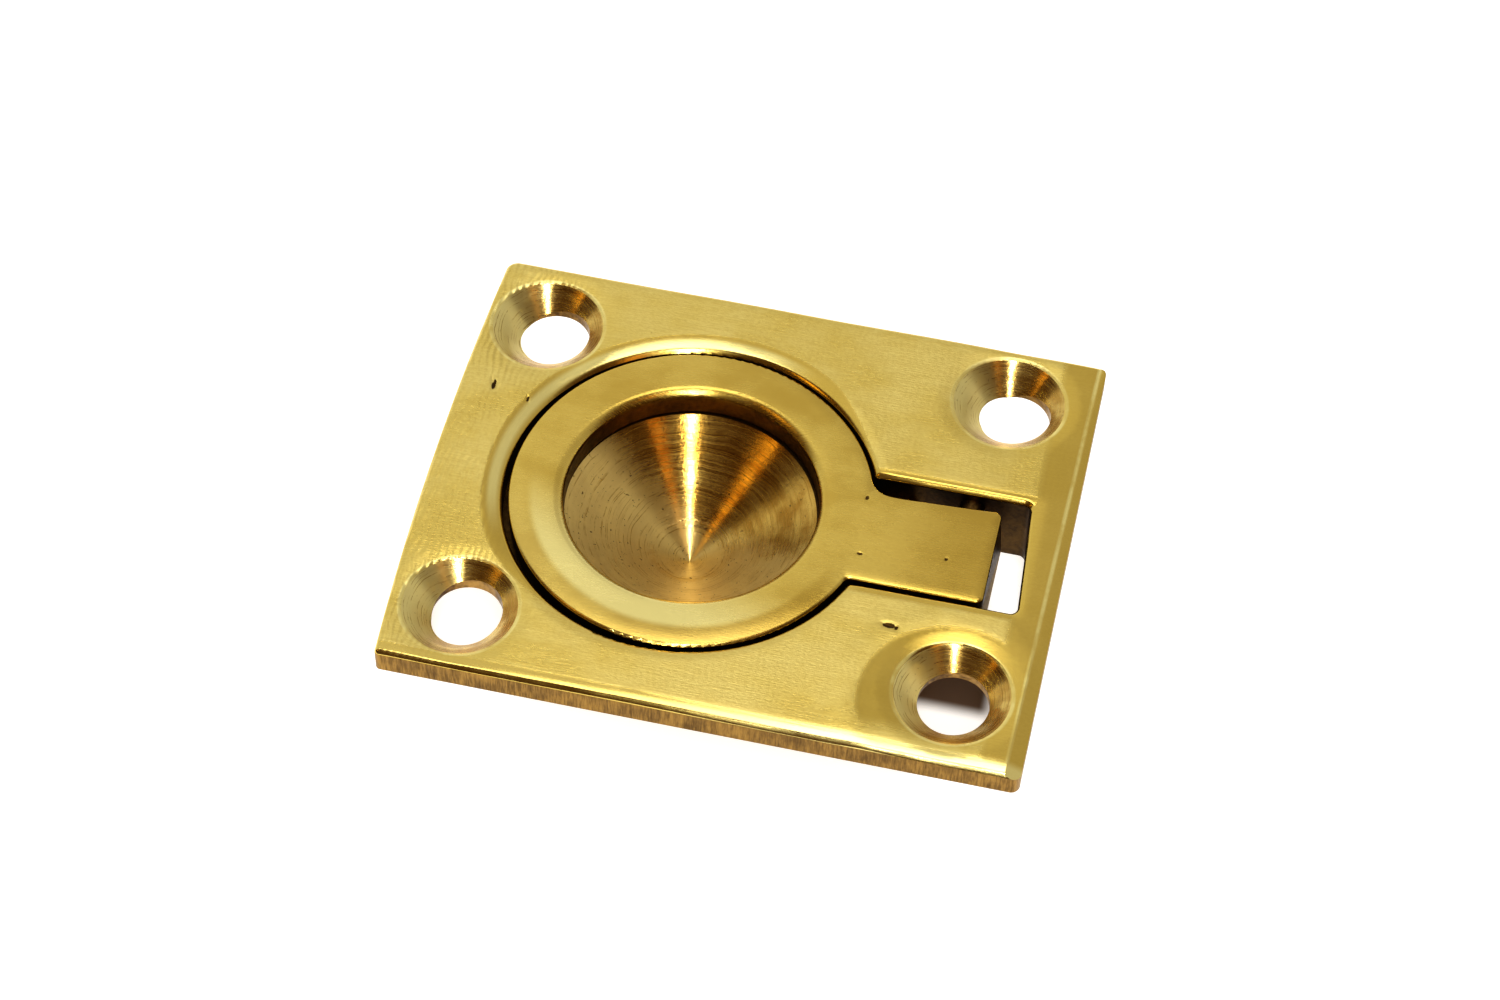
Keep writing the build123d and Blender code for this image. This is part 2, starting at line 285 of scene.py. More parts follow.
def cut_long_strips(bm, axis):
    """Cuts the long faces of the edge rounds across, so that the wear can vary along them."""
    low = floor(min(v.co[axis] for v in bm.verts) / MM)
    high = max(v.co[axis] for v in bm.verts) / MM
    across = Vector((0, 0, 0))
    across[axis] = 1
    for place in np.arange(low, high, STRIP_STEP):
        cut = place * MM
        faces = []
        for f in bm.faces:
            ends = [v.co[axis] for v in f.verts]
            if min(ends) < cut < max(ends) and max(ends) - min(ends) > STRIP_STEP * MM * 0.9:
                if f.normal.z < 0.9999 and min(v.co.z for v in f.verts) / MM > TOP - SKIN:
                    faces.append(f)
        if faces:
            edges = {e for f in faces for e in f.edges}
            verts = {v for f in faces for v in f.verts}
            bmesh.ops.bisect_plane(bm, geom=[*verts, *edges, *faces], plane_co=across * cut,
                                   plane_no=across, dist=WELD * MM)


def lattice(low, high, pitch):
    """Points of an even triangular lattice over a rectangle in plan."""
    columns = np.arange(low[0], high[0], pitch)
    rows = np.arange(low[1], high[1], pitch * sin(pi / 3))
    return [(x + (k % 2) * pitch / 2, y) for k, y in enumerate(rows) for x in columns]


def fill_face(bm, layer, pits):
    """Meshes the flat polished face again with an even net of triangles."""
    flat = [f for f in bm.faces if on_face(f)]
    points, outlines = [], []
    for f in flat:
        outlines.append(range(len(points), len(points) + len(f.verts)))
        points += [v.co.copy() for v in f.verts]
    tree = BVHTree.FromPolygons(points, [list(outline) for outline in outlines])
    rim_edges = [e for f in flat for e in f.edges if sum(on_face(g) for g in e.link_faces) == 1]
    rim_verts = list({v for e in rim_edges for v in e.verts})
    number = {v: k for k, v in enumerate(rim_verts)}
    rim_ends = [(number[e.verts[0]], number[e.verts[1]]) for e in rim_edges]
    rim_marks = []
    for e in rim_edges:
        start, end = (v.co for v in e.verts)
        steps = max(1, int((end - start).length / (RIM_MARK_STEP * MM)))
        rim_marks += [start.lerp(end, k / steps) for k in range(steps + 1)]
    rim = KDTree(len(rim_marks))
    for k, mark in enumerate(rim_marks):
        rim.insert(mark, k)
    rim.balance()

    def is_inside(point):
        place = Vector((point[0] * MM, point[1] * MM, (TOP + 1) * MM))
        return tree.ray_cast(place, Vector((0, 0, -1)))[0] is not None

    xs, ys = [p.x / MM for p in points], [p.y / MM for p in points]
    coarse = lattice((min(xs), min(ys)), (max(xs), max(ys)), FACE_PITCH)
    net = [p for p in coarse if min(np.hypot(p[0] - x, p[1] - y) for (x, y), *_ in pits) > PIT_REACH]
    fine = []
    for (x, y), *_ in pits:
        square = lattice((x - PIT_REACH, y - PIT_REACH), (x + PIT_REACH, y + PIT_REACH), PIT_PITCH)
        fine += [p for p in square if np.hypot(p[0] - x, p[1] - y) < PIT_REACH]
    kept = []
    nets = ((net, FACE_PITCH * FACE_CLEARANCE), (fine, PIT_PITCH * PIT_CLEARANCE))
    for points_of_net, clearance in nets:
        for p in points_of_net:
            place = Vector((p[0] * MM, p[1] * MM, TOP * MM))
            if rim.find(place)[2] > clearance * MM and is_inside(p):
                kept.append(p)
    bmesh.ops.delete(bm, geom=flat, context="FACES")
    plan = [Vector((v.co.x / MM, v.co.y / MM)) for v in rim_verts] + [Vector(p) for p in kept]
    made = delaunay_2d_cdt(plan, rim_ends, [], 0, 1e-5)
    verts = {}
    for k, sources in enumerate(made[3]):
        first = sources[0]
        if first < len(rim_verts):
            verts[k] = rim_verts[first]
        else:
            verts[k] = bm.verts.new((made[0][k].x * MM, made[0][k].y * MM, TOP * MM))
    for triangle in made[2]:
        middle = sum((made[0][k] for k in triangle), Vector((0, 0))) / 3
        if is_inside(middle):
            f = bm.faces.new([verts[k] for k in triangle])
            for corner in f.loops:
                corner[layer] = UP


def turn_cone(bm, layer):
    """Cuts the finger cup's cone again, ring by ring, with the marks that the boring tool left."""
    centre = Vector((*RECESS_CENTRE, 0)) * MM
    cone = [f for f in bm.faces if 0.3 < f.normal.z < 0.99
            and all((v.co - centre).xy.length / MM < CONE_RIM_RADIUS + SLACK for v in f.verts)
            and all(v.co.z / MM < RECESS_FLOOR + SLACK for v in f.verts)]
    rim = [v for v in {v for f in cone for v in f.verts} if v.co.z / MM > RECESS_FLOOR - SLACK]
    rim.sort(key=lambda v: np.arctan2(v.co.y - centre.y, v.co.x - centre.x))
    bmesh.ops.delete(bm, geom=cone, context="FACES")
    shares = np.linspace(1, CONE_LAST_RING, CONE_RINGS)
    radii = shares * CONE_RIM_RADIUS
    random = np.random.default_rng(CONE_SEED)
    beat = np.sin(radii * 9.1 + 1.3 * np.sin(radii * 1.7))
    chatter = CHATTER * (beat + random.uniform(-1, 1, CONE_RINGS))
    groove = chatter * np.clip((CONE_RIM_RADIUS - radii) / 0.4, 0, 1) * np.clip(radii, 0, 1)
    hollow = 4 * CONE_HOLLOW * shares * (1 - shares)
    heights = RECESS_FLOOR - CONE_DEPTH * (1 - shares) - hollow + groove
    steepness = np.gradient(heights, radii)
    loops = [rim]
    for share, height in list(zip(shares, heights))[1:]:
        loops.append([bm.verts.new((centre.x + (v.co.x - centre.x) * share,
                                    centre.y + (v.co.y - centre.y) * share, height * MM)) for v in rim])
    tip = bm.verts.new((centre.x, centre.y, (RECESS_FLOOR - CONE_DEPTH) * MM))

    def wall_normal(place, ring):
        outward = (place - centre).xy.normalized()
        return Vector((-outward.x * steepness[ring], -outward.y * steepness[ring], 1)).normalized()

    count = len(rim)
    for k in range(count):
        after = (k + 1) % count
        for ring in range(CONE_RINGS - 1):
            corners = [loops[ring][k], loops[ring][after], loops[ring + 1][after], loops[ring + 1][k]]
            f = bm.faces.new(corners)
            for corner, at in zip(f.loops, (ring, ring, ring + 1, ring + 1)):
                corner[layer] = wall_normal(corner.vert.co, at)
        f = bm.faces.new([loops[-1][k], loops[-1][after], tip])
        middle = (loops[-1][k].co + loops[-1][after].co) / 2
        for corner in f.loops:
            corner[layer] = wall_normal(middle, CONE_RINGS - 1)


def wear_down(mesh, wear):
    """Lowers the skin by the wear, and turns its normals to suit."""
    points = np.empty(len(mesh.vertices) * 3)
    mesh.vertices.foreach_get("co", points)
    points = points.reshape(-1, 3) / MM
    normals = np.empty(len(mesh.loops) * 3)
    mesh.attributes["cad_normal"].data.foreach_get("vector", normals)
    normals = normals.reshape(-1, 3)
    at = np.empty(len(mesh.loops), int)
    mesh.loops.foreach_get("vertex_index", at)
    x, y, z = points.T
    reach = np.clip((z - (TOP - SKIN)) / SKIN, 0, 1)
    fade = reach * reach * (3 - 2 * reach)
    fade_slope = 6 * reach * (1 - reach) / SKIN
    depth = wear(x, y)
    slope_x = (wear(x + SLOPE_STEP, y) - wear(x - SLOPE_STEP, y)) / (2 * SLOPE_STEP)
    slope_y = (wear(x, y + SLOPE_STEP) - wear(x, y - SLOPE_STEP)) / (2 * SLOPE_STEP)
    squeeze = np.maximum(1 - depth * fade_slope, LEAST_SQUEEZE)
    lowered = points.copy()
    lowered[:, 2] -= depth * fade
    mesh.vertices.foreach_set("co", (lowered * MM).ravel())
    turned = np.stack([normals[:, 0] * squeeze[at] + slope_x[at] * fade[at] * normals[:, 2],
                       normals[:, 1] * squeeze[at] + slope_y[at] * fade[at] * normals[:, 2],
                       normals[:, 2]], axis=1)
    turned /= np.linalg.norm(turned, axis=1)[:, None]
    mesh.attributes.remove(mesh.attributes["cad_normal"])
    mesh.update()
    mesh.normals_split_custom_set(turned.tolist())


def refined_copy(node, name, wear, finish_of, finishes, extra=None):
    """A finer, worn copy of a CAD node, with a finish for each kind of surface.

    extra changes the mesh before it is refined."""
    bm, layer = start_copy(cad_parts[node])
    if extra:
        extra(bm, layer)
    cut_long_strips(bm, 0)
    cut_long_strips(bm, 1)
    fill_face(bm, layer, PITS[node])
    bm.normal_update()
    numbers = {finish: k for k, finish in enumerate(finishes)}
    for f in bm.faces:
        f.smooth = True
        f.material_index = numbers[finish_of(f.calc_center_median() / MM, f.normal)]
    mesh = bpy.data.meshes.new(name)
    bm.to_mesh(mesh)
    bm.free()
    for material in finishes.values():
        mesh.materials.append(material)
    wear_down(mesh, wear)
    piece = bpy.data.objects.new(name, mesh)
    bpy.context.scene.collection.objects.link(piece)
    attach(piece, {"backplate": "plate", "ring_pull": "ring"}[node])
    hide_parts(node)
    return piece


# ---------------------------------------------------------------- which surface is which
PIT_RIM = 0.9              # where the dark of a pit ends, in its own half widths
COUNTERSINK_LIP = 0.12     # depth below the face where a countersink's turned wall begins
OUTER_EDGE = 0.3           # depth of the plate's outer edges, seen in plan
BOWED_EDGE = 1.2           # and at the bowed end
RING_SKIN = 1.0            # depth of the ring's polished skin
RING_WALL = 2.31           # height of the ring's walls


def in_pit(place, node):
    """Whether a place is inside a casting pit of this node's face."""
    away = [np.hypot((place.x - x) / long, (place.y - y) / wide)
            for (x, y), (long, wide), *_ in PITS[node]]
    return place.z > TOP - SKIN and min(away) < PIT_RIM


def plate_finish(place, normal):
    """The name of the finish at a place on the plate."""
    if in_pit(place, "backplate"):
        return "pocket"
    for k, (middle, hole) in enumerate(COUNTERSINKS):
        from_hole = np.hypot(place.x - hole[0], place.y - hole[1])
        if from_hole < SCREW_HOLE_RADIUS + 0.05 and abs(normal.z) < 0.1:
            return "drilled"
        from_middle = np.hypot(place.x - middle[0], place.y - middle[1])
        on_wall = 0.1 < normal.z < 0.9 and place.z < TOP - COUNTERSINK_LIP
        if on_wall and from_middle < COUNTERSINK_RADIUS + 0.1:
            return f"countersink_{k}"
    if place.z > TOP - SKIN and normal.z > 0.30:
        return "polished"
    from_recess = np.hypot(place.x - RECESS_CENTRE[0], place.y - RECESS_CENTRE[1])
    if from_recess < CONE_RIM_RADIUS and normal.z > 0.3 and place.z < RECESS_FLOOR:
        return "cone"
    outside = (place.x - plate_low.x < BOWED_EDGE or plate_high.x - place.x < OUTER_EDGE
               or place.y - plate_low.y < OUTER_EDGE or plate_high.y - place.y < OUTER_EDGE)
    if outside and abs(normal.z) < 0.5 and place.z > -SLACK:
        return "sawn"
    in_window = WINDOW_START < place.x < SLOT_END + 1 and SLOT_FRONT - 0.1 < place.y < SLOT_BACK + 0.1
    if (in_window or place.z > RECESS_FLOOR - SLACK) and normal.z > -0.5 and not outside:
        return "pocket"
    return "cast"


def ring_finish(place, normal):
    """The name of the finish at a place on the ring."""
    if in_pit(place, "ring_pull"):
        return "pocket"
    if normal.z > 0.35 and place.z > TOP - RING_SKIN:
        return "polished"
    return "pocket" if place.z > TOP - RING_WALL and abs(normal.z) < 0.8 else "cast"


# ---------------------------------------------------------------- shader helpers
class Nodes:
    """A short way to write a material's nodes: each call adds a node and returns its output."""

    def __init__(self, tree):
        self.tree = tree

    def add(self, kind, inputs=None, out=0, **settings):
        node = self.tree.nodes.new(kind)
        for key, value in settings.items():
            setattr(node, key, value)
        for key, value in (inputs or {}).items():
            if isinstance(value, bpy.types.NodeSocket):
                self.tree.links.new(value, node.inputs[key])
            else:
                node.inputs[key].default_value = value
        return node.outputs[out]

    def link(self, output, socket):
        self.tree.links.new(output, socket)

    def math(self, operation, a, b=0.0):
        return self.add("ShaderNodeMath", {0: a, 1: b}, operation=operation)

    def times(self, product, *others):
        """The product of several values."""
        for value in others:
            product = self.math("MULTIPLY", product, value)
        return product

    def highest(self, largest, *others):
        """The largest of several values."""
        for value in others:
            largest = self.math("MAXIMUM", largest, value)
        return largest

    def total(self, *terms):
        """The sum of several values, each given with its weight."""
        value, weight = terms[0]
        result = self.times(value, weight)
        for value, weight in terms[1:]:
            result = self.math("ADD", result, self.times(value, weight))
        return result

    def vector(self, operation, a, b=(0, 0, 0), out=0):
        return self.add("ShaderNodeVectorMath", {0: a, 1: b}, operation=operation, out=out)

    def split(self, vector):
        """The x, y and z of a vector."""
        node = self.tree.nodes.new("ShaderNodeSeparateXYZ")
        self.link(vector, node.inputs[0])
        return tuple(node.outputs)

    def in_plan(self, vector):
        """The vector without its height."""
        return self.vector("MULTIPLY", vector, (1, 1, 0))

    def distance(self, place, centre):
        """How far a place is from a centre in plan."""
        return self.vector("DISTANCE", self.in_plan(place), (*centre, 0), out="Value")

    def place(self):
        """Where the point is, in millimetres in the piece's own frame."""
        return self.vector("MULTIPLY", self.add("ShaderNodeTexCoord", out="Object"), (1 / MM,) * 3)

    def noise(self, vector, scale, detail, rough, stretch=(1, 1, 1)):
        """Noise of about this many waves to the millimetre, times the stretch of each axis."""
        stretched = self.vector("MULTIPLY", vector, stretch)
        return self.add("ShaderNodeTexNoise", {"Vector": stretched, "Scale": scale, "Detail": detail,
                                               "Roughness": rough})

    def noise_along(self, value, scale, detail, rough):
        """Noise that changes with one value only."""
        return self.add("ShaderNodeTexNoise", {"W": value, "Scale": scale, "Detail": detail,
                                               "Roughness": rough}, noise_dimensions="1D")

    def ramp(self, value, low, high, out_low=0.0, out_high=1.0):
        """A smooth step from out_low, where the value is low, to out_high, where it is high."""
        return self.add("ShaderNodeMapRange", {"Value": value, "From Min": low, "From Max": high,
                                               "To Min": out_low, "To Max": out_high},
                        interpolation_type="SMOOTHSTEP")

    def mix(self, factor, a, b):
        """A colour on the way from a to b, which are inputs 6 and 7 of the node."""
        return self.add("ShaderNodeMix", {"Factor": factor, 6: a, 7: b}, out=2, data_type="RGBA")

    def bump(self, height, depth, under=None):
        """A bump whose height of 1 stands for this depth in millimetres."""
        inputs = {"Height": height, "Strength": 1.0, "Distance": depth * MM}
        if under is not None:
            inputs["Normal"] = under
        return self.add("ShaderNodeBump", inputs)


def new_material(name):
    """A new material, its nodes and its shader."""
    material = bpy.data.materials.new(name)
    material.use_nodes = True
    shader = material.node_tree.nodes["Principled BSDF"]
    return material, Nodes(material.node_tree), shader


def join_metal(n, shader, base, rough, normal):
    """Makes the shader a metal with this colour, roughness and normal."""
    n.link(base, shader.inputs["Base Color"])
    n.link(rough, shader.inputs["Roughness"])
    n.link(normal, shader.inputs["Normal"])
    shader.inputs["Metallic"].default_value = 1.0


# ---------------------------------------------------------------- finishes
FACE_BRIGHT, FACE_DEEP = (0.80, 0.64, 0.21, 1), (0.75, 0.57, 0.15, 1)
RING_BRIGHT, RING_DEEP = (0.72, 0.53, 0.13, 1), (0.60, 0.41, 0.08, 1)
CONE_BRIGHT, CONE_DEEP = (0.66, 0.44, 0.11, 1), (0.42, 0.23, 0.04, 1)
SINK_BRIGHT, SINK_DEEP = (0.80, 0.60, 0.20, 1), (0.52, 0.32, 0.08, 1)
SAWN_BRIGHT, SAWN_DARK = (0.36, 0.21, 0.045, 1), (0.13, 0.07, 0.015, 1)
CAST_BRIGHT, CAST_DARK = (0.50, 0.34, 0.12, 1), (0.22, 0.13, 0.045, 1)
# The pockets' near-black brown is partly the oxide of cast walls and partly painted shade in the
# hollows, gaps and pits
POCKET_BRIGHT, POCKET_DARK = (0.11, 0.060, 0.015, 1), (0.045, 0.024, 0.008, 1)
DRILLED_BRIGHT = (0.42, 0.25, 0.07, 1)
DARK_REFLECTION_GOLD = (0.66, 0.46, 0.09, 1)
GRIT_GOLD = (0.60, 0.42, 0.09, 1)
SHANK_GOLD = (0.50, 0.33, 0.06, 1)
PAINTED_HIGHLIGHT_PALE = (0.97, 0.85, 0.36, 1)
PAINTED_LIGHT_OLIVE = (0.88, 0.77, 0.33, 1)
DULL_TAN = (0.85, 0.65, 0.25, 1)
BROWN = (0.40, 0.23, 0.05, 1)
DARK = (0.08, 0.04, 0.012, 1)

# Where the finer polish, with its painted darker reflection, and the painted highlights on the crests
# come in or fade out, from one end to the other
DISH_RIM = (DISH_RADIUS - 0.35, DISH_RADIUS + 0.35)
DISH_FRONT = (-18.9, -17.2)
HINGE_POLISH = (HINGE_FACET - 0.2, HINGE_FACET + 0.8)
RECESS_POLISH = (RECESS_RADIUS + 0.3, RECESS_RADIUS + 1.6)
SLOT_POLISH = (0.6, 1.0)
FRONT_POLISH = (plate_low.y + 0.9, plate_low.y + 1.3)
FRONT_CREST = (plate_low.y + 0.7, plate_low.y + 1.5)
RIM_CREST = (0.06, 0.24)
RIM_CREST_OFFSET = 0.05
RECESS_CREST_RADIUS = RECESS_RADIUS + 0.75
RECESS_CREST = (0.15, 0.65)
RING_BEVEL = (12.3, 12.9)     # distance from the middle of the ring


def polished_brass(name, bright, deep, satin, grain, painted_highlights, smoother=None, deeper=None):
    """The face: fine lines along the plate from a linishing belt, a soft haze, and small marks.

    satin is its roughness and grain the depth of its marks. The highlight argument gives from a place
    the share of a painted highlight there, smoother the share of the finer polish and of its painted
    darker reflection, and deeper of a deeper tone."""
    material, n, shader = new_material(name)
    place = n.place()
    lines = n.noise(place, scale=1.6, detail=4, rough=0.7, stretch=(0.25, 6, 1))
    sand = n.noise(place, scale=5.5, detail=3, rough=0.6, stretch=(0.6, 1.4, 1))
    tone = n.noise(place, scale=0.16, detail=3, rough=0.6, stretch=(0.8, 1.2, 1))
    speck = n.noise(place, scale=2.6, detail=2, rough=0.5)
    grit = n.total((sand, 0.5), (lines, 0.5))
    finer = smoother(n, place) if smoother else 0.0
    base = n.mix(n.ramp(tone, 0.34, 0.66), deep, bright)
    # Painted reflection: where the polish is finer, the colour is a darker gold
    base = n.mix(n.times(finer, 0.8), base, DARK_REFLECTION_GOLD)
    base = n.mix(n.ramp(grit, 0.40, 0.60, 0, 0.4), base, GRIT_GOLD)
    if deeper:
        base = n.mix(deeper(n, place), base, SHANK_GOLD)
    # Painted highlight: a pale, almost white colour where the crests and the ring's front would catch
    # the light
    base = n.mix(painted_highlights(n, place), base, PAINTED_HIGHLIGHT_PALE)
    base = n.mix(n.ramp(speck, 0.76, 0.82, 0, 0.6), base, BROWN)
    rough = n.math("ADD", n.ramp(lines, 0.3, 0.7, -0.03, 0.03),
                   n.ramp(tone, 0.3, 0.7, satin - 0.04, satin + 0.04))
    rough = n.math("SUBTRACT", rough, n.times(finer, satin * 0.42))
    ridges = n.total((sand, 1.0), (lines, 0.9))
    if smoother:
        ridges = n.total((ridges, 1.0), (polishing_waves(n, place), 0.8))
    coarse = n.math("SUBTRACT", 1.0, n.times(finer, 0.86))
    join_metal(n, shader, base, rough, n.bump(n.times(ridges, coarse), grain))
    return material


def polishing_waves(n, place):
    """Shallow waves along the bowed end, where the plate was eased against a wheel."""
    x, _, _ = n.split(place)
    wander = n.noise(place, scale=0.25, detail=2, rough=0.5)
    phase = n.times(n.total((x, 1.0), (wander, 1.6)), 2 * pi / WAVE_PITCH)
    fade = n.ramp(x, plate_low.x + 1, plate_low.x + 10, 1.0, 0.12)
    return n.times(n.math("SINE", phase), fade)


def plate_polish(n, place):
    """Where the plate is polished finer, and a darker gold is painted for its darker reflection: the
    dish, the hinge end, and the dubbed edges.
    """
    x, y, _ = n.split(place)
    dish = n.times(n.ramp(n.distance(place, DISH_CENTRE), *DISH_RIM, 1.0, 0.0), n.ramp(y, *DISH_FRONT))
    hinge_end = n.ramp(x, *HINGE_POLISH)
    toward_back_left = n.math("SUBTRACT", y, x)
    band_end = n.ramp(toward_back_left, -2, 12, *RECESS_POLISH)
    past_band = n.math("SUBTRACT", n.distance(place, RECESS_CENTRE), band_end)
    by_recess = n.ramp(past_band, -0.2, 0.2, 1.0, 0.0)
    from_slot = n.highest(n.math("SUBTRACT", SLOT_FRONT, y), n.math("SUBTRACT", y, SLOT_BACK))
    by_slot = n.times(n.ramp(from_slot, *SLOT_POLISH, 1.0, 0.0), n.ramp(x, SHANK_START, SHANK_START + 1))
    by_front = n.ramp(y, *FRONT_POLISH, 1.0, 0.0)
    return n.highest(dish, hinge_end, by_recess, by_slot, by_front)


def plate_painted_highlights(n, place):
    """Painted highlights on the plate's crests: the rims of the countersinks and of the recess, the
    edge of the hinge end's bevel, and the front edge."""
    x, y, _ = n.split(place)
    front_width, back_width = BEVEL_WIDTHS
    bevel = n.add("ShaderNodeMapRange", {
        "Value": y, "From Min": plate_low.y, "From Max": plate_high.y,
        "To Min": plate_high.x - front_width, "To Max": plate_high.x - back_width})
    nearest = n.math("ABSOLUTE", n.math("SUBTRACT", x, bevel))
    for middle, _ in COUNTERSINKS:
        past_rim = n.math("SUBTRACT", n.distance(place, middle), COUNTERSINK_RADIUS + RIM_CREST_OFFSET)
        nearest = n.math("MINIMUM", nearest, n.math("ABSOLUTE", past_rim))
    # The painted highlight is stronger in some patches along the crests than in others
    worn = n.ramp(n.noise(place, scale=0.35, detail=3, rough=0.6), 0.38, 0.60, 0.35, 1.0)
    rims = n.times(n.ramp(nearest, *RIM_CREST, 0.65, 0.0), worn)
    past_crest = n.math("SUBTRACT", n.distance(place, RECESS_CENTRE), RECESS_CREST_RADIUS)
    back_left = n.ramp(n.math("SUBTRACT", y, x), 10, 17)
    recess_rim = n.times(n.ramp(n.math("ABSOLUTE", past_crest), *RECESS_CREST, 0.75, 0.0), back_left)
    front_edge = n.times(n.ramp(y, *FRONT_CREST, 0.7, 0.0), n.ramp(x, -6, 12, 0.25, 1.0))
    return n.highest(rims, recess_rim, front_edge)


def ring_painted_highlight(n, place):
    """A painted highlight over the front of the ring."""
    x, y, _ = n.split(place)
    toward_front = n.total((y, -1.0), (x, -0.35))
    inside_bevel = n.ramp(n.distance(place, RING_CENTRE), 12.2, 12.9, 1.0, 0.15)
    return n.times(n.ramp(toward_front, 6.0, 13.0, 0.0, 0.8), inside_bevel)


def ring_deep(n, place):
    """The bevel at the front of the ring, and the end of the shank, which are deeper in tone."""
    x, y, _ = n.split(place)
    in_bevel = n.ramp(n.distance(place, RING_CENTRE), *RING_BEVEL)
    toward_front_right = n.math("SUBTRACT", n.times(x, 0.5), y)
    before_shank = n.ramp(x, SHANK_START - 1, SHANK_START + 1, 1.0, 0.0)
    bevel = n.times(in_bevel, n.ramp(toward_front_right, 7.0, 12.0, 0.0, 0.85), before_shank)
    return n.highest(bevel, n.ramp(x, 9.5, 18.5, 0.0, 0.7))


def turned_brass(name, centre, pitch, rough, bright, deep, dull_side, dull_color, pitted):
    """A cone cut by a turning tool: rings about its axis, and a streak of light across them.

    dull_side gives, from the outward vector in plan, the share of a duller skin of dull_color
    there, which on the countersinks is painted light, and pitted is the share of dark metal in the pits."""
    material, n, shader = new_material(name)
    place = n.place()
    outward = n.vector("SUBTRACT", place, (*centre, 0))
    flat = n.in_plan(outward)
    radius = n.vector("LENGTH", flat, out="Value")
    wander = n.noise(place, scale=0.35, detail=2, rough=0.5)
    rings = n.noise_along(n.total((radius, 1.0), (wander, 0.5)), pitch, detail=4, rough=0.75)
    broad = n.noise_along(radius, pitch / 7, detail=2, rough=0.5)
    blotch = n.noise(place, scale=0.5, detail=4, rough=0.6)
    pits = n.noise(place, scale=3.4, detail=2, rough=0.6)
    present = n.ramp(n.noise(place, scale=0.9, detail=3, rough=0.6), 0.40, 0.62)
    stain = n.total((broad, 0.35), (blotch, 0.65))
    dull = dull_side(n, flat)
    base = n.mix(n.ramp(stain, 0.38, 0.62), deep, bright)
    base = n.mix(dull, base, dull_color)
    base = n.mix(n.times(n.ramp(rings, 0.55, 0.64, 0, 0.85), present), base, BROWN)
    base = n.mix(n.ramp(pits, 0.665, 0.72, 0, pitted), base, DARK)
    ringed_rough = n.ramp(rings, 0.3, 0.7, rough * 0.8, rough * 1.25)
    ringed = n.bump(n.times(rings, n.math("ADD", 0.35, present)), 0.0035)
    join_metal(n, shader, base, n.total((ringed_rough, 1.0), (dull, 0.16)),
               n.bump(pits, 0.006, under=ringed))
    n.link(n.vector("NORMALIZE", outward), shader.inputs["Tangent"])
    shader.inputs["Anisotropic"].default_value = 0.9
    return material


def left_side(n, flat):
    """The side of a countersink away from the hinge, where light from the left is painted in as a
    lighter olive, on a rougher skin.
    """
    x, _, _ = n.split(n.vector("NORMALIZE", flat))
    return n.ramp(x, -0.85, -0.15, 0.85, 0.0)


def near_side(n, flat):
    """The near half of the cone, which has a duller, lighter tan skin."""
    x, y, _ = n.split(flat)
    ragged = n.noise(flat, scale=0.5, detail=3, rough=0.6)
    return n.ramp(n.total((y, 1.0), (x, 0.45), (ragged, 3.0)), 2.4, 5.8, 0.70, 0.0)


def cast_brass(name, bright, dark, rough, grain):
    """Metal as it came from the sand: grainy, dull, and darker in its hollows."""
    material, n, shader = new_material(name)
    place = n.place()
    sand = n.noise(place, scale=2.5, detail=6, rough=0.65)
    cloud = n.noise(place, scale=0.28, detail=4, rough=0.6)
    base = n.mix(n.ramp(n.total((sand, 0.45), (cloud, 0.55)), 0.36, 0.64), dark, bright)
    join_metal(n, shader, base, n.ramp(sand, 0.3, 0.7, rough * 1.15, rough * 0.85), n.bump(sand, grain))
    return material


def sawn_brass(name, bright, dark):
    """The plate's edges: saw and file strokes across the thickness, tarnished brown."""
    material, n, shader = new_material(name)
    place = n.place()
    strokes = n.noise(place, scale=1.6, detail=5, rough=0.7, stretch=(4, 4, 0.4))
    patch = n.noise(place, scale=0.35, detail=3, rough=0.6)
    base = n.mix(n.ramp(n.total((strokes, 0.6), (patch, 0.4)), 0.34, 0.66), dark, bright)
    join_metal(n, shader, base, n.ramp(strokes, 0.3, 0.7, 0.5, 0.35), n.bump(strokes, 0.04))
    return material


# ---------------------------------------------------------------- studio
FLOOR_SIZE = 3.0           # metres
FLOOR_GAP = 0.05           # keeps the floor clear of the cup's foot, which would flicker in it
FLOOR_WHITE = (0.92, 0.92, 0.91, 1)
FLOOR_GLOW = 0.55
# A painted shadow: under the plate, in front of the lug, the ground is painted dark brown and does not
# glow
SHADE_X = (13.0, 22.0)
SHADE_Y = (-9.5, -3.5)
SHADE_SOFT = 1.6
PAINTED_SHADOW_BROWN = (0.14, 0.09, 0.06, 1)

WARM_SIDE = (0.085, 0.042, 0.010, 1)
LIGHT_SIDE = (0.84, 0.84, 0.82, 1)

# The soft panels: azimuth and elevation, distance and size in metres, radiance and colour
PANELS = {"overhead": ((185, 84), 0.60, (0.26, 0.26), 2.6, (1, 1, 1)),
          "by_camera": ((0, 50), 0.50, (0.032, 0.34), 36, (1, 1, 1)),
          "warm_left": ((-75, 47), 0.50, (0.05, 0.20), 2.2, (1.0, 0.55, 0.09)),
          "warm_right": ((35, 55), 0.50, (0.05, 0.20), 1.2, (1.0, 0.45, 0.06))}


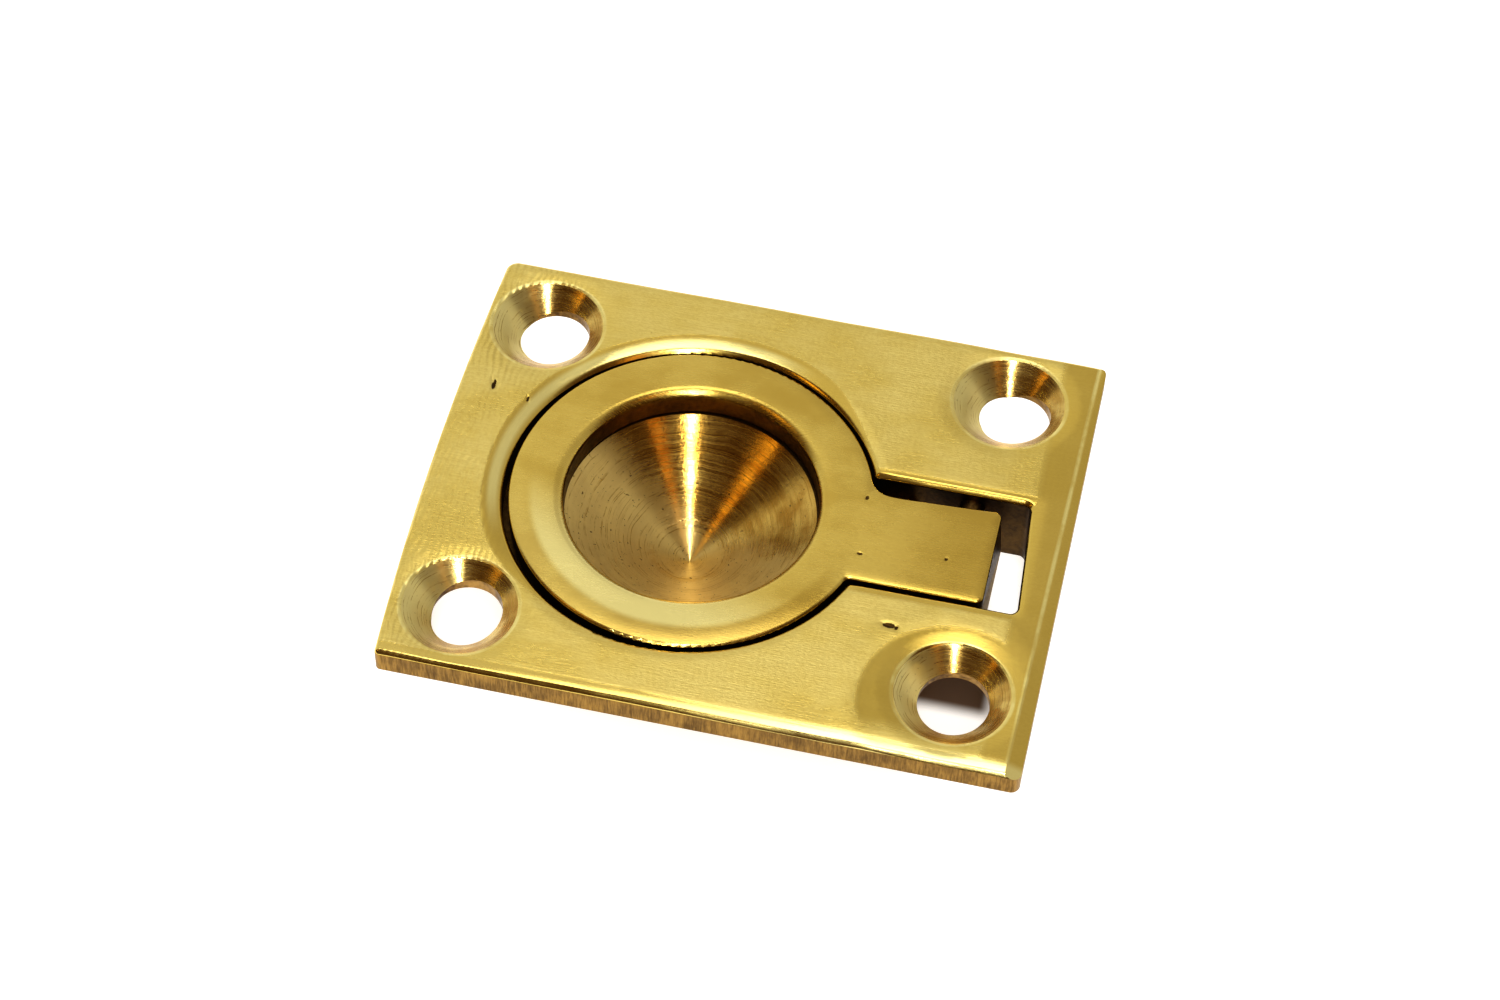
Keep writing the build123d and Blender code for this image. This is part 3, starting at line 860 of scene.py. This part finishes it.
def add_floor():
    """The white ground, which glows a little so that it is white in the picture too, with a painted
    shadow under the plate in front of the lug.
    """
    bpy.ops.mesh.primitive_plane_add(size=FLOOR_SIZE, location=(0, 0, (plate_low.z - FLOOR_GAP) * MM))
    plane = bpy.context.object
    plane.name = "floor"
    material, n, shader = new_material("floor_white")
    x, y, _ = n.split(n.place())
    # The painted shadow: a soft-edged box where the colour turns dark brown and the glow is off
    painted_shadow = 1.0
    for value, (low, high) in ((x, SHADE_X), (y, SHADE_Y)):
        past_low = n.ramp(value, low, low + SHADE_SOFT)
        before_high = n.ramp(value, high - SHADE_SOFT, high, 1.0, 0.0)
        painted_shadow = n.times(painted_shadow, n.times(past_low, before_high))
    glow = n.times(n.math("SUBTRACT", 1.0, painted_shadow), FLOOR_GLOW)
    n.link(glow, shader.inputs["Emission Strength"])
    n.link(n.mix(painted_shadow, FLOOR_WHITE, PAINTED_SHADOW_BROWN), shader.inputs["Base Color"])
    shader.inputs["Roughness"].default_value = 0.8
    shader.inputs["Emission Color"].default_value = (1, 1, 1, 1)
    plane.data.materials.append(material)


def add_world():
    """A studio that is bright behind the object and dark on the camera's side."""
    world = bpy.data.worlds.new("studio")
    world.use_nodes = True
    bpy.context.scene.world = world
    n = Nodes(world.node_tree)
    x, y, z = n.split(n.add("ShaderNodeTexCoord", out="Generated"))
    behind = n.ramp(y, -0.06, 0.14)
    from_left = n.ramp(x, -0.22, 0.10, 1.0, 0.66)
    above_backdrop = n.ramp(z, 0.12, 0.42, 1.25, 0.86)
    overhead = n.ramp(z, 0.86, 0.97, 1.0, 0.72)
    level = n.times(behind, from_left, above_backdrop, overhead)
    background = world.node_tree.nodes["Background"]
    n.link(n.mix(level, WARM_SIDE, LIGHT_SIDE), background.inputs["Color"])
    background.inputs["Strength"].default_value = 1.0


def aim(azimuth, elevation):
    """A direction: azimuth 0 is the camera's side, and 180 is behind the object."""
    a, e = radians(azimuth) + AZIMUTH, radians(elevation)
    return (sin(a) * cos(e), -cos(a) * cos(e), sin(e))


def add_panel(name, direction, distance, size, radiance, color):
    """A soft panel of light that faces the object."""
    data = bpy.data.lights.new(name, "AREA")
    data.shape = "RECTANGLE"
    data.size, data.size_y = size
    data.energy = radiance * size[0] * size[1] * pi
    data.color = color
    light = bpy.data.objects.new(name, data)
    bpy.context.scene.collection.objects.link(light)
    outward = Vector(aim(*direction)).normalized()
    light.location = outward * distance
    light.rotation_euler = outward.to_track_quat("Z", "Y").to_euler()


add_camera()
add_floor()
add_world()
for panel_name, panel in PANELS.items():
    add_panel(panel_name, *panel)
bpy.context.scene.view_settings.view_transform = "Standard"
bpy.context.scene.view_settings.look = "Medium High Contrast"

# ---------------------------------------------------------------- pieces
# Pockets: cast oxide, darkened further as painted shade in the recess, slot, eye and gaps
pocket = cast_brass("pocket_shade_brass", POCKET_BRIGHT, POCKET_DARK, rough=0.38, grain=0.02)
cast = cast_brass("cast_brass", CAST_BRIGHT, CAST_DARK, rough=0.50, grain=0.05)
drilled = cast_brass("drilled_brass", DRILLED_BRIGHT, DARK, rough=0.35, grain=0.02)
plate_finishes = {
    "polished": polished_brass("polished_plate_brass", FACE_BRIGHT, FACE_DEEP, satin=0.31, grain=0.018,
                               painted_highlights=plate_painted_highlights, smoother=plate_polish),
    "sawn": sawn_brass("sawn_brass", SAWN_BRIGHT, SAWN_DARK),
    "pocket": pocket,
    "cone": turned_brass("turned_cone", RECESS_CENTRE, 5.0, 0.23, CONE_BRIGHT, CONE_DEEP,
                         near_side, DULL_TAN, pitted=0.85),
    "drilled": drilled,
    "cast": cast}
for k, (middle, _) in enumerate(COUNTERSINKS):
    finish_name = f"countersink_{k}"
    plate_finishes[finish_name] = turned_brass(finish_name, middle, 6.0, 0.24, SINK_BRIGHT, SINK_DEEP,
                                               left_side, PAINTED_LIGHT_OLIVE, pitted=0.25)
ring_finishes = {
    "polished": polished_brass("polished_ring_brass", RING_BRIGHT, RING_DEEP, satin=0.26, grain=0.0065,
                               painted_highlights=ring_painted_highlight, deeper=ring_deep),
    "pocket": pocket,
    "cast": cast}

plate = refined_copy("backplate", "polished_backplate", plate_wear, plate_finish, plate_finishes,
                     extra=turn_cone)
ring = refined_copy("ring_pull", "polished_ring", ring_wear, ring_finish, ring_finishes)
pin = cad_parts["hinge_pin"]
pin.data.materials.clear()
pin.data.materials.append(drilled)
